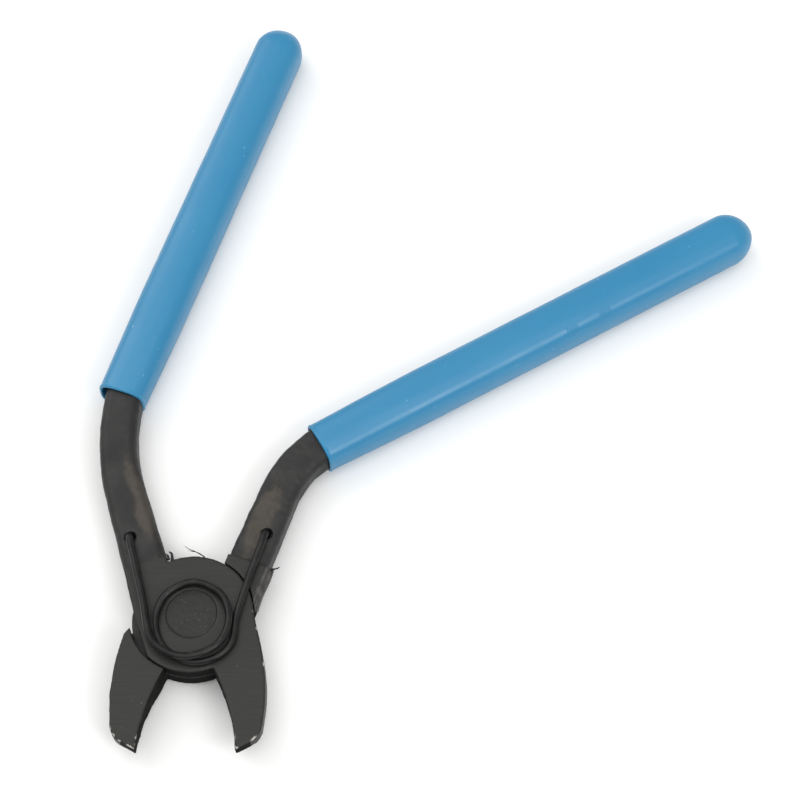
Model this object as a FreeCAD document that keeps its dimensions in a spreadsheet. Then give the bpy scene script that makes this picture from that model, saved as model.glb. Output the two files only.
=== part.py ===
import FreeCAD, Part
import math
import os
import Sketcher
from FreeCAD import Vector, Rotation, Placement

# Tile nippers with offset handles: two crossing forged levers in a lap joint, one big rivet, a wire
# spring coiled round the rivet and a moulded sleeve on each handle.
# The levers are drawn closed, jaws meeting on X = 0 and pointing along -Y, with Z = 0 on the plane
# where the two hubs touch. Each one is then turned half the opening about the pivot.
# The part frame has the pivot on Z, the front (spring side) up, and Z = 0 on the back of the rivet.

dimensions = {
    # stack along the pivot
    "hub_stack": 10.0,            # thickness of both hubs together
    "neck_thick": 9.4,
    "joint_gap": 0.05,            # each hub stays this far off the joint plane
    "cut_past": 1.0,              # every cutting outline runs this far past the metal
    "rear_head_high": 2.2,
    # motion
    "half_opening": 19.0,         # degrees each lever is turned from the closed place
    # hub and jaw, the same on both levers except where a name says front or rear
    "hub_radius": 17.4,
    "shoulder_radius": 17.65,     # recess in which the other hub turns
    "front_ground_top": 19.4,     # the ground face ends here, on the neck
    "rear_ground_top": 20.4,
    "neck_root": 14.0,            # the neck's bar starts inside the hub, this high
    "bar_flank": 15.35,
    "bar_flank_up": 5.5,
    "front_ground_flank": 14.5,
    "front_flank": 15.35,
    "front_neck_inner": 1.95,
    "front_neck_up": 17.29,       # where the hub's round meets the neck
    "front_jaw_root": 16.73,
    "front_jaw_root_down": 4.80,
    "front_belly_top": 15.8,
    "front_belly_top_down": 14.5,
    "rear_ground_flank": 17.2,
    "rear_flank": 16.5,
    "rear_flank_bevel": 1.8,
    "rear_flank_back": 15.5,      # the flank leans in to here at its back edge
    "rear_neck_root": 3.0,
    "rear_neck_inner": 3.2,
    "rear_neck_up": 17.10,
    "rear_jaw_root": 14.77,
    "rear_jaw_root_down": 9.2,
    "rear_belly_top": 15.74,
    "rear_belly_top_down": 11.7,
    "belly_end_across": 9.4,
    "belly_end_down": 37.3,
    "belly_radius": 64.0,
    "toe_across": 5.4,
    "toe_down": 41.0,
    "toe_radius": 6.0,
    "tip_across": 0.12,           # half the gap left between the tips when closed
    "tip_down": 41.9,
    "bite_radius": 62.0,          # the cutting edge is bowed, so the jaws meet at their tips
    "crotch_across": 1.2,
    "crotch_down": 17.36,
    # relief ground into the back of the jaws
    "relief_top": 18.5,
    "relief_heel": 32.0,
    "relief_heel_back": 1.5,      # behind the joint plane
    "relief_heel_radius": 26.0,
    "relief_tip_front": 0.9,      # in front of the joint plane, at the tip
    # front lever: neck, bend and tang
    "front_out_a": 13.5,
    "front_bend_from": 44.0,
    "front_out_radius": 80.0,
    "front_out_x": 3.25,
    "front_out_y": 88.45,
    "front_tang_left_x": 76.7,
    "front_tang_left_y": 182.9,
    "front_tang_right_x": 85.7,
    "front_tang_right_y": 175.9,
    "front_in_x": 10.18,
    "front_in_y": 78.76,
    "front_in_radius": 56.4,
    "front_in_a": 1.7,
    # rear lever: neck, bend and tang
    "rear_left_a": 4.05,
    "rear_bend_from": 43.0,
    "rear_left_radius": 44.0,
    "rear_left_x": 14.95,
    "rear_left_y": 70.8,
    "rear_tang_left_x": 105.2,
    "rear_tang_left_y": 174.2,
    "rear_tang_right_x": 114.1,
    "rear_tang_right_y": 166.4,
    "rear_right_x": 22.0,
    "rear_right_y": 60.9,
    "rear_right_radius": 27.2,
    "rear_right_a": 15.3,
    "neck_edge": 2.6,             # rounding along the forged neck
    # rivet
    "shank_radius": 6.2,
    "peen_radius": 7.25,
    "peen_deep": 1.6,
    "running_fit": 0.05,
    "rear_head_radius": 10.5,
    "rear_head_edge": 1.0,
    # spring
    "wire_radius": 1.05,
    "coil_radius": 11.0,
    "coil_pitch": 2.4,
    "coil_x": 0.4,
    "coil_y": 2.7,                # the coil hangs this far towards the jaws
    "coil_lift": 0.1,
    "leg_lift": 1.75,             # wire centre above the neck where it turns down
    "hook_bend": 2.0,
    "hook_deep": 3.2,
    "hook_hole_radius": 1.65,
    "front_hole_x": 10.0,
    "front_hole_y": 28.3,
    "rear_hole_x": 11.4,
    "rear_hole_y": 29.9,
    # grips
    "grip_wide": 15.4,
    "grip_high": 14.4,
    "mouth_wide": 14.4,
    "mouth_high": 12.4,
    "corner_share": 0.44,         # corner radius as a share of the height
    "grip_swell": 38.0,           # distance over which the mouth widens to the full section
    "grip_nose": 5.9,
    "mouth_bevel": 0.4,
    "front_mouth_x": -0.5,
    "front_mouth_y": 74.4,
    "front_grip_long": 143.0,
    "front_grip_angle": 37.87,
    "rear_mouth_x": 15.4,
    "rear_mouth_y": 62.1,
    "rear_grip_long": 153.6,
    "rear_grip_angle": 41.13,
}

doc = FreeCAD.newDocument("tile_nippers")
sheet = doc.addObject("Spreadsheet::Sheet", "dims")
for row, (alias, value) in enumerate(dimensions.items(), start=1):
    cell = "A%d" % row
    sheet.set(cell, str(value))
    sheet.setAlias(cell, alias)
doc.recompute()


class Size(float):
    """A number that remembers the sheet expression it comes from."""

    def __new__(cls, number, text):
        size = super().__new__(cls, number)
        size.text = text
        return size

    def __neg__(self):
        return Size(-float(self), "-(%s)" % self.text)

    def __mul__(self, other):
        return Size(float(self) * float(other), "(%s) * %s" % (self.text, getattr(other, "text", other)))

    def __add__(self, other):
        return Size(float(self) + float(other), "(%s) + (%s)" % (self.text, getattr(other, "text", other)))

    def __sub__(self, other):
        return Size(float(self) - float(other), "(%s) - (%s)" % (self.text, getattr(other, "text", other)))


def dim(alias):
    return Size(dimensions[alias], "dims.%s" % alias)


zero = Size(0.0, "0")


def bind(thing, prop, size):
    """Set a property and tie it to the sheet."""
    setattr(thing, prop, float(size))
    thing.setExpression(prop, size.text)


def plane(body, role):
    for feature in body.Origin.OriginFeatures:
        if feature.Role == role:
            return feature
    raise ValueError(role)


def new_sketch(body, name, role="XY_Plane"):
    sketch = body.newObject("Sketcher::SketchObject", name)
    sketch.AttachmentSupport = [(plane(body, role), "")]
    sketch.MapMode = "FlatFace"
    return sketch


def arc_between(start, end, radius):
    """The short arc from start to end. A positive radius turns left on the way, a negative one right."""
    if radius < 0:
        start, end = end, start
    radius = abs(radius)
    half = (end - start) * 0.5
    left = Vector(-half.y, half.x, 0).normalize()
    centre = start + half + left * math.sqrt(radius * radius - half.Length * half.Length)
    first = math.atan2(start.y - centre.y, start.x - centre.x)
    last = math.atan2(end.y - centre.y, end.x - centre.x)
    if last < first:
        last += 2 * math.pi
    return Part.ArcOfCircle(Part.Circle(centre, Vector(0, 0, 1), radius), first, last)


def draw_loop(sketch, corners):
    """A closed outline. Each corner is (x, y, radius of the arc to the next corner, or None)."""
    count = len(corners)
    for index, (x, y, radius) in enumerate(corners):
        next_x, next_y, unused = corners[(index + 1) % count]
        start, end = Vector(x, y, 0), Vector(next_x, next_y, 0)
        if radius is None:
            sketch.addGeometry(Part.LineSegment(start, end), False)
            continue
        sketch.addGeometry(arc_between(start, end, float(radius)), False)
    for index, (x, y, radius) in enumerate(corners):
        begins = end_of_edge(sketch, index, Vector(x, y, 0))
        after = (index + 1) % count
        far = Vector(corners[after][0], corners[after][1], 0)
        sketch.addConstraint(Sketcher.Constraint(
            "Coincident", index, end_of_edge(sketch, index, far), after, end_of_edge(sketch, after, far)))
        for kind, size in (("DistanceX", x), ("DistanceY", y)):
            number = sketch.addConstraint(Sketcher.Constraint(kind, index, begins, float(size)))
            sketch.setExpression("Constraints[%d]" % number, size.text)
        if radius is not None:
            number = sketch.addConstraint(Sketcher.Constraint("Radius", index, abs(float(radius))))
            sketch.setExpression("Constraints[%d]" % number, "abs(%s)" % radius.text)


def end_of_edge(sketch, index, point):
    """1 where the edge starts at the point, 2 where it ends there."""
    edge = sketch.Geometry[index]
    if edge.StartPoint.distanceToPoint(point) < edge.EndPoint.distanceToPoint(point):
        return 1
    return 2


def draw_circle(sketch, x, y, radius):
    sketch.addGeometry(Part.Circle(Vector(x, y, 0), Vector(0, 0, 1), float(radius)), False)
    for kind, size in (("DistanceX", x), ("DistanceY", y)):
        number = sketch.addConstraint(Sketcher.Constraint(kind, 0, 3, float(size)))
        sketch.setExpression("Constraints[%d]" % number, size.text)
    number = sketch.addConstraint(Sketcher.Constraint("Radius", 0, float(radius)))
    sketch.setExpression("Constraints[%d]" % number, radius.text)


def pad(body, sketch, name, length, midplane=False, reverse=False):
    feature = body.newObject("PartDesign::Pad", name)
    feature.Profile = sketch
    bind(feature, "Length", length)
    feature.Midplane = midplane
    feature.Reversed = reverse
    doc.recompute()
    return feature


def pocket(body, sketch, name, length, midplane=False, reverse=False):
    """Cut, and make sure that something was cut."""
    before = body.Shape.Volume
    feature = body.newObject("PartDesign::Pocket", name)
    feature.Profile = sketch
    bind(feature, "Length", length)
    feature.Midplane = midplane
    feature.Reversed = reverse
    doc.recompute()
    if body.Shape.Volume > before - 0.5:
        raise RuntimeError("%s cut nothing" % name)
    return feature


def front_bar():
    """Neck, bend and tang of the front lever."""
    return [
        (-dim("bar_flank"), dim("bar_flank_up"), None),
        (-dim("front_out_a"), dim("front_bend_from"), -dim("front_out_radius")),
        (dim("front_out_x"), dim("front_out_y"), None),
        (dim("front_tang_left_x"), dim("front_tang_left_y"), None),
        (dim("front_tang_right_x"), dim("front_tang_right_y"), None),
        (dim("front_in_x"), dim("front_in_y"), dim("front_in_radius")),
        (-dim("front_in_a"), dim("front_bend_from"), None),
        (-dim("front_neck_inner"), dim("neck_root"), None),
    ]


def rear_bar():
    """Neck, bend and tang of the rear lever."""
    return [
        (dim("rear_neck_root"), dim("neck_root"), None),
        (dim("rear_left_a"), dim("rear_bend_from"), -dim("rear_left_radius")),
        (dim("rear_left_x"), dim("rear_left_y"), None),
        (dim("rear_tang_left_x"), dim("rear_tang_left_y"), None),
        (dim("rear_tang_right_x"), dim("rear_tang_right_y"), None),
        (dim("rear_right_x"), dim("rear_right_y"), dim("rear_right_radius")),
        (dim("rear_right_a"), dim("rear_bend_from"), None),
        (dim("bar_flank"), dim("bar_flank_up"), None),
    ]


def head(side):
    """Hub and jaw of one lever. Side 1 is the front lever, whose jaw is on +X."""
    own = "front" if side > 0 else "rear"

    def sided(alias):
        """A distance across, or a bend, mirrored for the rear lever."""
        size = dim(alias)
        return size if side > 0 else -size

    flank = dimensions["%s_flank" % own]
    flank_foot = "sqrt(dims.hub_radius ^ 2 - dims.%s_flank ^ 2)" % own
    foot = Size(math.sqrt(dimensions["hub_radius"] ** 2 - flank ** 2), flank_foot)
    return [
        (-sided("%s_ground_flank" % own), dim("%s_ground_top" % own), None),
        (-sided("%s_neck_inner" % own), dim("%s_ground_top" % own), None),
        (-sided("%s_neck_inner" % own), dim("%s_neck_up" % own), -sided("hub_radius")),
        (sided("%s_jaw_root" % own), -dim("%s_jaw_root_down" % own), None),
        (sided("%s_belly_top" % own), -dim("%s_belly_top_down" % own), -sided("belly_radius")),
        (sided("belly_end_across"), -dim("belly_end_down"), -sided("toe_radius")),
        (sided("toe_across"), -dim("toe_down"), None),
        (sided("tip_across"), -dim("tip_down"), sided("bite_radius")),
        (sided("crotch_across"), -dim("crotch_down"), -sided("hub_radius")),
        (-sided("%s_flank" % own), -foot, None),
        (-sided("%s_flank" % own), dim("bar_flank_up"), None),
    ]


def forged_bar(body, name, outline):
    """The bar that is neck and tang, with its long edges rounded."""
    sketch = new_sketch(body, name + "_outline")
    draw_loop(sketch, outline)
    bar = pad(body, sketch, name, dim("neck_thick"), midplane=True)
    # the long edges lie on the two faces of the bar, and run on past the hub
    long_edges = []
    half = dimensions["neck_thick"] / 2
    for number, edge in enumerate(bar.Shape.Edges, start=1):
        middle = edge.valueAt((edge.FirstParameter + edge.LastParameter) / 2)
        if abs(abs(middle.z) - half) < 0.01 and edge.Length > 2 * dimensions["neck_thick"]:
            long_edges.append("Edge%d" % number)
    rounding = body.newObject("PartDesign::Fillet", name + "_rounding")
    rounding.Base = (bar, long_edges)
    bind(rounding, "Radius", dim("neck_edge"))
    doc.recompute()
    return rounding


def lever(label, side, bar_outline, hole_x, hole_y, bore):
    """One forged lever, drawn closed. Side 1 has its hub in front, side -1 behind."""
    body = doc.addObject("PartDesign::Body", label)
    body.Label = label
    forged_bar(body, label + "_bar", bar_outline)
    head_sketch = new_sketch(body, label + "_head_outline")
    draw_loop(head_sketch, head(side))
    head_pad = pad(body, head_sketch, label + "_head", dim("hub_stack"), midplane=True)
    if side < 0:
        bevel_flank(body, head_pad)

    # the other hub turns in this recess, on the far side of the joint plane
    recess = new_sketch(body, label + "_recess_outline")
    draw_circle(recess, zero, zero, dim("shoulder_radius"))
    pocket(body, recess, label + "_recess", dim("hub_stack") * 0.5, reverse=(side < 0))
    # the running gap, on this lever's own side of the joint plane
    face = new_sketch(body, label + "_joint_face_outline")
    draw_circle(face, zero, zero, dim("shoulder_radius"))
    pocket(body, face, label + "_joint_face", dim("joint_gap"), reverse=(side > 0))

    # relief ground across the back of the jaw: a heel and then a flat that runs out to the tip
    relief = new_sketch(body, label + "_relief_outline", "YZ_Plane")
    back = -(dim("hub_stack") * 0.5)
    behind = back - dim("cut_past")
    beyond_tip = -(dim("tip_down") + dim("cut_past"))
    draw_loop(relief, [
        (-dim("relief_top"), behind, None),
        (-dim("relief_top"), back, -dim("relief_heel_radius")),
        (-dim("relief_heel"), -dim("relief_heel_back"), None),
        (beyond_tip, dim("relief_tip_front"), None),
        (beyond_tip, behind, None),
    ])
    pocket(body, relief, label + "_relief", dim("hub_radius") * 4, midplane=True)

    bore_sketch = new_sketch(body, label + "_bore_outline")
    draw_circle(bore_sketch, zero, zero, bore)
    pocket(body, bore_sketch, label + "_bore", dim("hub_stack") * 2, midplane=True)
    hole_sketch = new_sketch(body, label + "_spring_hole_outline")
    draw_circle(hole_sketch, hole_x, hole_y, dim("hook_hole_radius"))
    pocket(body, hole_sketch, label + "_spring_hole", dim("hub_stack") * 2, midplane=True)
    return body


def bevel_flank(body, head_pad):
    """The flat ground along the rear lever's outer flank, on its front edge."""
    front = dimensions["hub_stack"] / 2
    names = []
    for number, edge in enumerate(head_pad.Shape.Edges, start=1):
        middle = edge.valueAt((edge.FirstParameter + edge.LastParameter) / 2)
        on_flank = dimensions["rear_flank"] - 0.1 < middle.x < dimensions["rear_ground_flank"] + 0.1
        if on_flank and abs(middle.z - front) < 0.01:
            names.append("Edge%d" % number)
    bevel = body.newObject("PartDesign::Chamfer", "rear_lever_flank_bevel")
    bevel.Base = (head_pad, names)
    bind(bevel, "Size", dim("rear_flank_bevel"))
    doc.recompute()
    print("flank bevel on %d edges" % len(names))
    # behind the bevel the wall leans in, as drawn from the forging die
    half = dim("hub_stack") * 0.5
    past = dim("rear_ground_flank") + dim("cut_past")
    lean = new_sketch(body, "rear_lever_flank_lean_outline", "XZ_Plane")
    draw_loop(lean, [
        (dim("rear_flank_back"), -half, None),
        (dim("rear_ground_flank"), half - dim("rear_flank_bevel"), None),
        (past, half - dim("rear_flank_bevel"), None),
        (past, -(half + dim("cut_past")), None),
        (dim("rear_flank_back"), -(half + dim("cut_past")), None),
    ])
    pocket(body, lean, "rear_lever_flank_lean", dim("hub_radius") * 4, midplane=True)


def peen_seat(body):
    """Countersink for the spread end of the rivet, in the front hub only."""
    seat = new_sketch(body, "front_lever_peen_seat_outline", "XZ_Plane")
    front = dim("hub_stack") * 0.5
    bottom = front - dim("peen_deep")
    inner = dim("shank_radius") - dim("cut_past")
    draw_loop(seat, [
        (inner, bottom, None),
        (dim("shank_radius") + dim("running_fit"), bottom, None),
        (dim("peen_radius") + dim("running_fit"), front, None),
        (dim("peen_radius") + dim("running_fit"), front + dim("cut_past"), None),
        (inner, front + dim("cut_past"), None),
    ])
    before = body.Shape.Volume
    groove = body.newObject("PartDesign::Groove", "front_lever_peen_seat")
    groove.Profile = seat
    groove.ReferenceAxis = (seat, ["V_Axis"])
    groove.Angle = 360
    doc.recompute()
    if body.Shape.Volume > before - 0.5:
        raise RuntimeError("the peen seat cut nothing")


def rivet():
    """Forged head behind, plain shank, spread end flush with the front hub."""
    body = doc.addObject("PartDesign::Body", "pivot_rivet")
    body.Label = "pivot_rivet"
    half = dim("hub_stack") * 0.5
    sketch = new_sketch(body, "pivot_rivet_profile", "XZ_Plane")
    draw_loop(sketch, [
        (zero, -half - dim("rear_head_high"), None),
        (dim("rear_head_radius") - dim("rear_head_edge"), -half - dim("rear_head_high"),
         dim("rear_head_edge")),
        (dim("rear_head_radius"), -half - dim("rear_head_high") + dim("rear_head_edge"), None),
        (dim("rear_head_radius"), -half, None),
        (dim("shank_radius"), -half, None),
        (dim("shank_radius"), half - dim("peen_deep"), None),
        (dim("peen_radius"), half, None),
        (zero, half, None),
    ])
    turned = body.newObject("PartDesign::Revolution", "pivot_rivet_turned")
    turned.Profile = sketch
    turned.ReferenceAxis = (sketch, ["V_Axis"])
    turned.Angle = 360
    doc.recompute()
    return body


def section(body, name, height, wide, high):
    """Rounded rectangle across a grip, at a height above its mouth."""
    sketch = new_sketch(body, name)
    sketch.AttachmentOffset = Placement(Vector(0, 0, float(height)), Rotation())
    sketch.setExpression("AttachmentOffset.Base.z", height.text)
    corner = high * dim("corner_share")
    right, top = wide * 0.5, high * 0.5
    draw_loop(sketch, [
        (right - corner, -top, corner),
        (right, -(top - corner), None),
        (right, top - corner, corner),
        (right - corner, top, None),
        (-(right - corner), top, corner),
        (-right, top - corner, None),
        (-right, -(top - corner), corner),
        (-(right - corner), -top, None),
    ])
    return sketch


nose_angles = (22, 42, 60, 76, 88)


def grip_blank(name, long):
    """Sleeve without its bore, standing on its mouth: a bevelled lip, a swell and a round nose."""
    body = doc.addObject("PartDesign::Body", name)
    bevel, nose = dim("mouth_bevel"), dim("grip_nose")
    wide, high = dim("grip_wide"), dim("grip_high")
    stations = [
        (zero, dim("mouth_wide") - bevel * 2, dim("mouth_high") - bevel * 2),
        (bevel, dim("mouth_wide"), dim("mouth_high")),
        (dim("grip_swell"), wide, high),
        (long - nose, wide, high),
    ]
    # the nose is a quarter ellipse, stepped off by angle
    for degrees in nose_angles:
        rise = math.sin(math.radians(degrees))
        inset = nose * (2 - 2 * math.cos(math.radians(degrees)))
        stations.append((long - nose * (1 - rise), wide - inset, high - inset))
    sections = []
    for number, (height, across, tall) in enumerate(stations):
        sections.append(section(body, "%s_section_%d" % (name, number), height, across, tall))
    loft = body.newObject("PartDesign::AdditiveLoft", name + "_loft")
    loft.Profile = sections[0]
    loft.Sections = sections[1:]
    loft.Ruled = True
    doc.recompute()
    return body


def grip(label, mouth_x, mouth_y, long, angle, bar_outline):
    """A sleeve whose bore is exactly the bar that it was pushed over."""
    blank = grip_blank(label + "_blank", long)
    # the sleeve's own X lies across the handle, and its own Z runs out along the handle
    out = Rotation(Vector(0, 0, 1), -float(angle)) * Rotation(Vector(1, 0, 0), -90)
    blank.Placement = Placement(Vector(mouth_x, mouth_y, 0), out)
    core = doc.addObject("PartDesign::Body", label + "_core")
    forged_bar(core, label + "_core_bar", bar_outline)
    sleeve = doc.addObject("Part::Cut", label)
    sleeve.Label = label
    sleeve.Base = blank
    sleeve.Tool = core
    doc.recompute()
    return sleeve


def turned_point(x, y, degrees):
    return Rotation(Vector(0, 0, 1), degrees).multVec(Vector(x, y, 0))


def tangent_point(hole, centre, radius, side):
    """Where a straight leg from the hole meets the coil, on the side away from the other leg."""
    reach = hole - centre
    swing = math.degrees(math.acos(radius / reach.Length)) * side
    return centre + Rotation(Vector(0, 0, 1), swing).multVec(reach.normalize() * radius)


def spring():
    """Torsion spring: hook, leg, about one and a half turns round the rivet, leg, hook."""
    wire, coil = sheet.wire_radius, sheet.coil_radius
    half = sheet.hub_stack / 2
    centre = Vector(sheet.coil_x, -sheet.coil_y, 0)
    front_hole = turned_point(-sheet.front_hole_x, sheet.front_hole_y, sheet.half_opening)
    rear_hole = turned_point(sheet.rear_hole_x, sheet.rear_hole_y, -sheet.half_opening)
    top_meet = tangent_point(front_hole, centre, coil, 1)
    low_meet = tangent_point(rear_hole, centre, coil, -1)
    start = math.atan2(top_meet.y - centre.y, top_meet.x - centre.x)
    finish = math.atan2(low_meet.y - centre.y, low_meet.x - centre.x)
    while finish < start + 2 * math.pi:
        finish += 2 * math.pi
    turns = (finish - start) / (2 * math.pi)
    low = half + wire + sheet.coil_lift
    high = low + turns * sheet.coil_pitch
    leg_end = sheet.neck_thick / 2 + sheet.leg_lift

    def hook(hole, meet, meet_height):
        """Leg, bend and tail at one end, from the coil outwards."""
        meet = Vector(meet.x, meet.y, meet_height)
        along = Vector(hole.x, hole.y, leg_end) - meet
        along.normalize()
        corner = Vector(hole.x, hole.y, leg_end)
        bend = sheet.hook_bend
        before = corner - along * bend
        after = corner - Vector(0, 0, bend)
        inside = before + after - corner
        middle = inside + (corner - inside).normalize() * bend
        tail = Vector(hole.x, hole.y, half - sheet.hook_deep)
        return [Part.LineSegment(meet, before).toShape(),
                Part.Arc(before, middle, after).toShape(),
                Part.LineSegment(after, tail).toShape()]

    helix = Part.makeHelix(sheet.coil_pitch, turns * sheet.coil_pitch, coil, 0, True)
    # a left-handed helix runs clockwise as it climbs, from the low leg to the high one
    start_of_climb = Rotation(Vector(0, 0, 1), math.degrees(finish))
    helix.Placement = Placement(Vector(centre.x, centre.y, low), start_of_climb)
    low_leg = hook(rear_hole, low_meet, low)
    high_leg = hook(front_hole, top_meet, high)
    edges = [edge.copy() for edge in reversed(low_leg)] + list(helix.Edges) + high_leg
    path = Part.Wire(Part.__sortEdges__(edges))
    tail_end = Vector(rear_hole.x, rear_hole.y, half - sheet.hook_deep)
    profile = Part.Wire([Part.Circle(tail_end, Vector(0, 0, 1), wire).toShape()])
    solid = path.makePipeShell([profile], True, False, 0)
    if solid.Volume < 0:
        solid = solid.reversed()
    print("spring: %.2f turns, volume %.1f of %.1f" % (
        turns, solid.Volume, math.pi * wire * wire * path.Length))
    feature = doc.addObject("Part::Feature", "return_spring")
    feature.Label = "return_spring"
    feature.Shape = solid
    return feature


front_lever = lever("front_lever", 1, front_bar(), -dim("front_hole_x"), dim("front_hole_y"),
                    dim("shank_radius") + dim("running_fit"))
peen_seat(front_lever)
rear_lever = lever("rear_lever", -1, rear_bar(), dim("rear_hole_x"), dim("rear_hole_y"),
                   dim("shank_radius"))
pivot_rivet = rivet()
return_spring = spring()
front_grip = grip("front_grip", dim("front_mouth_x"), dim("front_mouth_y"), dim("front_grip_long"),
                  dim("front_grip_angle"), front_bar())
rear_grip = grip("rear_grip", dim("rear_mouth_x"), dim("rear_mouth_y"), dim("rear_grip_long"),
                 dim("rear_grip_angle"), rear_bar())

# the joint plane stands this high above the back of the rivet
lift = dim("hub_stack") * 0.5 + dim("rear_head_high")
half_opening = sheet.half_opening
for piece, degrees in ((front_lever, half_opening), (front_grip, half_opening),
                       (rear_lever, -half_opening), (rear_grip, -half_opening),
                       (pivot_rivet, -half_opening), (return_spring, 0.0)):
    piece.Placement = Placement(Vector(0, 0, float(lift)), Rotation(Vector(0, 0, 1), degrees))
    piece.setExpression("Placement.Base.z", lift.text)
doc.recompute()

pieces = [front_lever, rear_lever, pivot_rivet, return_spring, front_grip, rear_grip]
for thing in doc.Objects:
    if "Invalid" in thing.State or "Error" in thing.State:
        raise RuntimeError("%s did not build: %s" % (thing.Name, thing.State))
os.makedirs("parts", exist_ok=True)
for piece in pieces:
    shape = piece.Shape
    if shape.isNull() or not shape.isValid() or not shape.Solids:
        raise RuntimeError("%s is not a valid solid" % piece.Label)
    shape.exportStep("parts/%s.step" % piece.Label)
    box = shape.BoundBox
    print("%-14s %d solid, %.0f mm3, box %.1f..%.1f, %.1f..%.1f, %.1f..%.1f" % (
        piece.Label, len(shape.Solids), shape.Volume, box.XMin, box.XMax, box.YMin, box.YMax,
        box.ZMin, box.ZMax))
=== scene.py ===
import bpy
import bmesh
import numpy as np
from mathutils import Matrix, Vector


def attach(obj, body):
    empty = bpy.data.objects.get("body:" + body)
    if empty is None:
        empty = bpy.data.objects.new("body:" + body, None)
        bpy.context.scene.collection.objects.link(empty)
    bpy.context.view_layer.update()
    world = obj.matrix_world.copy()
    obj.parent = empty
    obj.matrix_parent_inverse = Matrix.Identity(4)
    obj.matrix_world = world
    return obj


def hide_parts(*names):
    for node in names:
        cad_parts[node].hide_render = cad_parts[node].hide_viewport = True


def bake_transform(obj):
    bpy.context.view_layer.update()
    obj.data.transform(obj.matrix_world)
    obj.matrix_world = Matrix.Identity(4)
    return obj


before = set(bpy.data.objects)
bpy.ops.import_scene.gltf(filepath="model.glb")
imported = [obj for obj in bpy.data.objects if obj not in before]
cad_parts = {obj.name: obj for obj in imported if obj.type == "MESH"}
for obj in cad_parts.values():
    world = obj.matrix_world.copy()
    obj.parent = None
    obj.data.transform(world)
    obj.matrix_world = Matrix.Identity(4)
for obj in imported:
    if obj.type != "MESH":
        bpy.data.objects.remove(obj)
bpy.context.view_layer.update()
mm = 0.001

# The frame: +Z up along the pivot, towards the spring; -Y to the jaws; +X to the side both handles lean to.
# Closed, the two levers mirror each other about X = 0. At rest each is turned half the opening.
tool = {
    "halfOpening": 19.0,       # degrees
    "backFace": 2.2,           # the hubs' back, which is the rivet head's thickness
    "frontFace": 12.2,         # the ground front of the hubs and jaws
    "neckFront": 11.9,         # the forged necks stand a little lower
}
sides = {"front_lever": 1, "rear_lever": -1}


# small helpers for shapes

def turned(points, degrees):
    # rows of x, y, z turned about the pivot axis
    angle = np.radians(degrees)
    out = np.array(points, float)
    x, y = out[..., 0].copy(), out[..., 1].copy()
    out[..., 0] = x * np.cos(angle) - y * np.sin(angle)
    out[..., 1] = x * np.sin(angle) + y * np.cos(angle)
    return out


def smoothStep(values, low, high):
    # 0 below low, 1 above high, and 3t^2 - 2t^3 between
    t = np.clip((values - low) / (high - low), 0.0, 1.0)
    return t * t * (3.0 - 2.0 * t)


def waves(points, wavelength, count, seed):
    # the mean of sine waves of about one wavelength in seeded random directions, scaled to about -1..1
    chance = np.random.default_rng(seed)
    directions = chance.normal(size=(count, 3))
    directions /= np.linalg.norm(directions, axis=1)[:, None]
    lengths = wavelength * chance.uniform(0.7, 1.5, count)
    phases = chance.uniform(0.0, 2.0 * np.pi, count)
    total = np.sin(points @ (directions * (2.0 * np.pi / lengths)[:, None]).T + phases)
    return total.sum(axis=1) / np.sqrt(count) / 1.4


def gridFaces(rows, columns):
    # quads between neighbouring rows, closed round the columns
    first = np.arange(rows - 1)[:, None] * columns
    here = np.arange(columns)[None, :]
    after = (here + 1) % columns
    near, far = first + here, first + after
    return np.stack([near, far, far + columns, near + columns], axis=-1).reshape(-1, 4)


def ringMesh(name, rings, material):
    # rings is rows x columns x 3 in mm; the first and last rows shrink to points and are merged there
    rows, columns = rings.shape[:2]
    mesh = bpy.data.meshes.new(name)
    mesh.from_pydata((rings.reshape(-1, 3) * mm).tolist(), [], gridFaces(rows, columns).tolist())
    work = bmesh.new()
    work.from_mesh(mesh)
    bmesh.ops.remove_doubles(work, verts=work.verts, dist=0.002 * mm)
    bmesh.ops.recalc_face_normals(work, faces=work.faces)
    work.to_mesh(mesh)
    work.free()
    mesh.shade_smooth()
    return newPiece(name, mesh, material)


def newPiece(name, mesh, material):
    mesh.materials.clear()
    mesh.materials.append(material)
    piece = bpy.data.objects.new(name, mesh)
    bpy.context.scene.collection.objects.link(piece)
    return piece


def splinePath(points, step):
    # a centripetal Catmull-Rom curve through the points, cut evenly by its length
    points = np.array(points, float)
    ends = np.vstack([2 * points[0] - points[1], points, 2 * points[-1] - points[-2]])
    pieces = []
    for a, b, c, d in zip(ends[:-3], ends[1:-2], ends[2:-1], ends[3:]):
        ta = 0.0
        tb = ta + np.sqrt(np.linalg.norm(b - a))
        tc = tb + np.sqrt(np.linalg.norm(c - b))
        td = tc + np.sqrt(np.linalg.norm(d - c))
        t = np.linspace(tb, tc, 40, endpoint=False)[:, None]
        ab = (tb - t) / (tb - ta) * a + (t - ta) / (tb - ta) * b
        bc = (tc - t) / (tc - tb) * b + (t - tb) / (tc - tb) * c
        cd = (td - t) / (td - tc) * c + (t - tc) / (td - tc) * d
        abc = (tc - t) / (tc - ta) * ab + (t - ta) / (tc - ta) * bc
        bcd = (td - t) / (td - tb) * bc + (t - tb) / (td - tb) * cd
        pieces.append((tc - t) / (tc - tb) * abc + (t - tb) / (tc - tb) * bcd)
    fine = np.vstack(pieces + [points[-1:]])
    along = np.concatenate([[0.0], np.cumsum(np.linalg.norm(np.diff(fine, axis=0), axis=1))])
    even = np.linspace(0.0, along[-1], int(along[-1] / step) + 2)
    return np.stack([np.interp(even, along, fine[:, k]) for k in range(3)], axis=1)


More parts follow.
